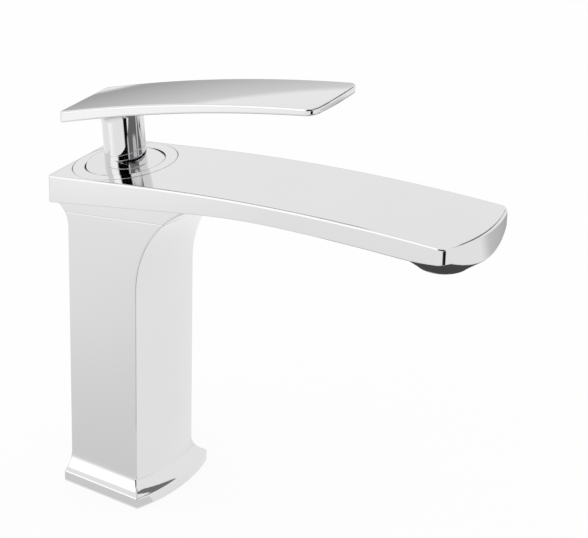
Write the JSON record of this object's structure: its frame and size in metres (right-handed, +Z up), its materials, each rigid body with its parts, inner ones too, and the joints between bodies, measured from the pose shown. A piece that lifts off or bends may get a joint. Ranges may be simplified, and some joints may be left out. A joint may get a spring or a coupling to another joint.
{
  "type": "basin faucet",
  "caption": "Chrome single-lever basin faucet: square column with a flared foot, flat arched spout, and a flat lever on a ball that lifts for flow and swivels for temperature.",
  "frame": {"origin": "on the deck, under the middle of the column's shaft", "axes": "+X out along the spout, +Z up, +Y to the left seen from behind the faucet"},
  "size_m": [0.1857, 0.0486, 0.1946],
  "materials": {
    "chrome": "polished",
    "nut_brass": "machined",
    "spindle_steel": "machined",
    "seal_rubber": "matt",
    "cartridge_plastic": "moulded",
    "disc_ceramic": "lapped",
    "aerator_plastic": "moulded"
  },
  "bodies": {
    "faucet_body": {"column_casting": "chrome", "spout_casting": "chrome", "foot_gasket": "seal_rubber", "trim_ring": "chrome", "trim_ring_seal": "seal_rubber", "cartridge_nut": "nut_brass", "cartridge_housing": "cartridge_plastic", "housing_seal": "seal_rubber", "cartridge_base": "cartridge_plastic", "port_seals": "seal_rubber", "fixed_ceramic_disc": "disc_ceramic", "aerator_shell": "chrome", "aerator_gasket": "seal_rubber", "flow_regulator": "aerator_plastic", "aerator_grid": "aerator_plastic"},
    "mixer_rotor": {"cartridge_rotor": "cartridge_plastic", "rotor_seal": "seal_rubber", "pivot_pin": "spindle_steel"},
    "disc_carriage": {"disc_carrier": "cartridge_plastic", "moving_ceramic_disc": "disc_ceramic"},
    "handle": {"lever_handle": "chrome", "ball_skirt": "chrome", "lever_spindle": "spindle_steel", "grub_screw": "spindle_steel", "screw_plug": "chrome"}
  },
  "joints": [
    {"name": "temperature_turn", "type": "hinge", "parent": "faucet_body", "child": "mixer_rotor", "pos_m": [-0.00267, 0, 0.1408], "axis": [-0.1736, 0, 0.9848], "range_deg": [-45, 45]},
    {"name": "lever_lift", "type": "hinge", "parent": "mixer_rotor", "child": "handle", "pos_m": [-0.00154, 0, 0.1344], "axis": [0, -1, 0], "range_deg": [0, 22]},
    {"name": "disc_slide", "type": "slide", "parent": "mixer_rotor", "child": "disc_carriage", "axis": [0.9848, 0, 0.1736], "range_m": [0, 0.0032]}
  ],
  "couplings": [
    {"joint": "disc_slide", "follows": "lever_lift", "m_per_rad": 0.008}
  ]
}
